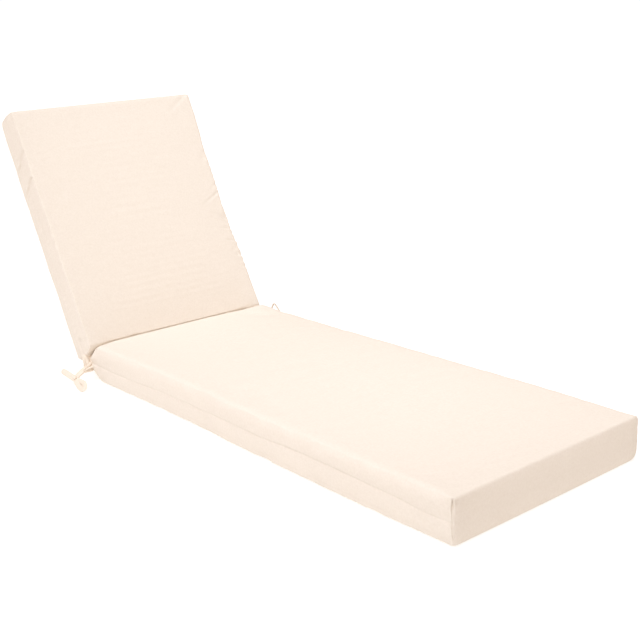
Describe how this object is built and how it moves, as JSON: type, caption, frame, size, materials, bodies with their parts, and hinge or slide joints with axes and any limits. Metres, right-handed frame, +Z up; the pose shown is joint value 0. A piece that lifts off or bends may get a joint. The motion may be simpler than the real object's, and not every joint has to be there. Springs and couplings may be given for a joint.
{
  "type": "sun lounger cushion",
  "caption": "Pale padded lounger cushion with a flat seat and a raised back joined at a sewn hinge line, with tied tapes at its ends.",
  "frame": {"origin": "centre of the seat's flat underside, which lies on the surface", "axes": "+X to the right seen from the foot, +Y from the foot towards the head, +Z up"},
  "size_m": [0.709, 1.6955, 0.6953],
  "materials": {
    "cover_cloth": "fine plain-woven outdoor cloth, matte, warm ivory",
    "tie_tape": "the same cloth folded and stitched into narrow tape, matte"
  },
  "bodies": {
    "root": {"cushion": "cover_cloth", "tie_left": "tie_tape", "tie_right": "tie_tape"}
  },
  "joints": []
}
